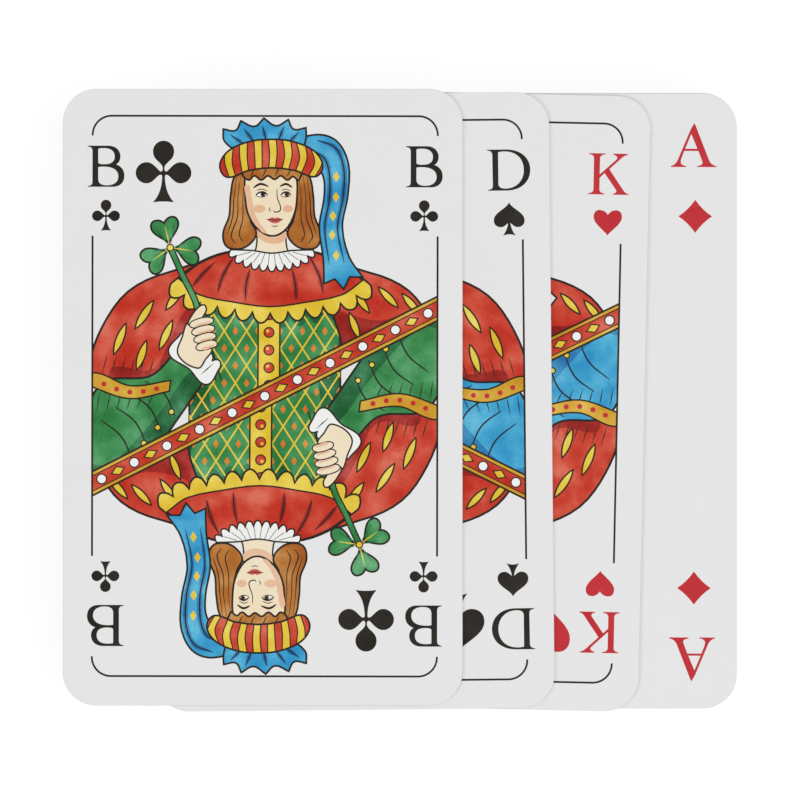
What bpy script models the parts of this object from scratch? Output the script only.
"""Skat pack: thirty-two loose playing cards, face up, with the top three slid off the pack into a spread.

The squared pack stands on its lowest card, and the ace of diamonds is its top card. The king of hearts,
the queen of spades and the jack of clubs lie on it in that order, each slid further to the left (-X) and
turned a little, so that the right-hand margin of every card beneath stays in view.
Metres, +Z up, printed faces up. The origin is the bottom centre of the pack together with its spread.
"""

import math

import bmesh
import bpy

# The card blank
CARD_WIDTH = 0.059
CARD_LENGTH = 0.091
CARD_THICKNESS = 0.00029
CORNER_RADIUS = 0.005
CORNER_SEGMENTS = 8

# How the cards lie on one another
AIR_GAP = 0.00002
SQUARING_ERROR = 0.0001
SQUARING_TURN = math.radians(137.5)

# The spread, from the pack upwards: how far a card is slid to the left off the card beneath it and shifted
# along its length, and how far it is turned counter-clockwise on the pack
KING_SLIDE = 0.01365
KING_SHIFT = 0.00015
KING_TURN = math.radians(-1.21)
QUEEN_SLIDE = 0.01373
QUEEN_SHIFT = -0.00027
QUEEN_TURN = math.radians(0.55)
JACK_SLIDE = 0.0132
JACK_SHIFT = 0.00066
JACK_TURN = 0.0

# The thirty-two cards
SUITS = ("clubs", "spades", "hearts", "diamonds")
RANKS = ("seven", "eight", "nine", "ten", "jack", "queen", "king", "ace")
PACK_TOP = "ace_of_diamonds"
SPREAD = {
    "king_of_hearts": (KING_SLIDE, KING_SHIFT, KING_TURN),
    "queen_of_spades": (QUEEN_SLIDE, QUEEN_SHIFT, QUEEN_TURN),
    "jack_of_clubs": (JACK_SLIDE, JACK_SHIFT, JACK_TURN),
}

# The varnished board
BOARD_COLOUR = (0.78, 0.78, 0.78, 1.0)
BOARD_ROUGHNESS = 0.38


def clear_scene():
    for obj in list(bpy.data.objects):
        bpy.data.objects.remove(obj, do_unlink=True)


def varnished_board():
    """White playing-card board under a satin varnish."""
    material = bpy.data.materials.new("varnished_board")
    material.use_nodes = True
    shader = material.node_tree.nodes["Principled BSDF"]
    shader.inputs["Base Color"].default_value = BOARD_COLOUR
    shader.inputs["Roughness"].default_value = BOARD_ROUGHNESS
    shader.inputs["Metallic"].default_value = 0.0
    return material


def card_blank():
    """One die-cut card with round corners, centred on its origin, with its underside at height 0."""
    half_width, half_length = CARD_WIDTH / 2, CARD_LENGTH / 2
    shape = bmesh.new()
    corners = [
        shape.verts.new((side * half_width, end * half_length, 0.0))
        for side, end in ((-1, -1), (1, -1), (1, 1), (-1, 1))
    ]
    shape.faces.new(corners)
    bmesh.ops.bevel(
        shape,
        geom=corners,
        offset=CORNER_RADIUS,
        offset_type="OFFSET",
        segments=CORNER_SEGMENTS,
        profile=0.5,
        affect="VERTICES",
    )
    raised = bmesh.ops.extrude_face_region(shape, geom=shape.faces[:])["geom"]
    top_corners = [item for item in raised if isinstance(item, bmesh.types.BMVert)]
    bmesh.ops.translate(shape, verts=top_corners, vec=(0.0, 0.0, CARD_THICKNESS))
    bmesh.ops.recalc_face_normals(shape, faces=shape.faces[:])
    blank = bpy.data.meshes.new("card_blank")
    shape.to_mesh(blank)
    shape.free()
    blank.materials.append(varnished_board())
    blank.shade_smooth()
    blank.set_sharp_from_angle(angle=math.radians(30))
    return blank


def squared_pack():
    """(name, across, along, turn) of each card of the squared pack, lowest first, from its top card.

    Hands never square a pack perfectly, so each card but the top one is out by the squaring error, in a
    direction that turns from card to card."""
    names = [f"{rank}_of_{suit}" for suit in SUITS for rank in RANKS]
    names = [name for name in names if name != PACK_TOP and name not in SPREAD]
    for place, name in enumerate(names):
        heading = place * SQUARING_TURN
        yield name, SQUARING_ERROR * math.cos(heading), SQUARING_ERROR * math.sin(heading), 0.0
    yield PACK_TOP, 0.0, 0.0, 0.0


def spread_cards():
    """(name, across, along, turn) of each card of the spread, lowest first, from the pack's top card."""
    across = along = 0.0
    for name, (slide, shift, turn) in SPREAD.items():
        across -= slide
        along += shift
        yield name, across, along, turn


def half_reach(turn):
    """Half the width and half the length that a card takes up when it is turned."""
    straight_width = CARD_WIDTH / 2 - CORNER_RADIUS
    straight_length = CARD_LENGTH / 2 - CORNER_RADIUS
    cosine, sine = abs(math.cos(turn)), abs(math.sin(turn))
    return (
        straight_width * cosine + straight_length * sine + CORNER_RADIUS,
        straight_width * sine + straight_length * cosine + CORNER_RADIUS,
    )


def middle_of(cards):
    """The middle of the box round these cards, measured from the pack's top card."""
    sides, ends = [], []
    for _, across, along, turn in cards:
        half_width, half_length = half_reach(turn)
        sides += [across - half_width, across + half_width]
        ends += [along - half_length, along + half_length]
    return (min(sides) + max(sides)) / 2, (min(ends) + max(ends)) / 2


def lay_deck():
    """Lays every card on the one beneath it, a card and its film of air higher each time."""
    deck = bpy.data.objects.new("deck", None)
    bpy.context.scene.collection.objects.link(deck)
    blank = card_blank()
    cards = [*squared_pack(), *spread_cards()]
    middle_across, middle_along = middle_of(cards)
    for place, (name, across, along, turn) in enumerate(cards):
        card = bpy.data.objects.new(name, blank)
        bpy.context.scene.collection.objects.link(card)
        card.parent = deck
        height = place * (CARD_THICKNESS + AIR_GAP)
        card.location = (across - middle_across, along - middle_along, height)
        card.rotation_euler.z = turn


clear_scene()
lay_deck()
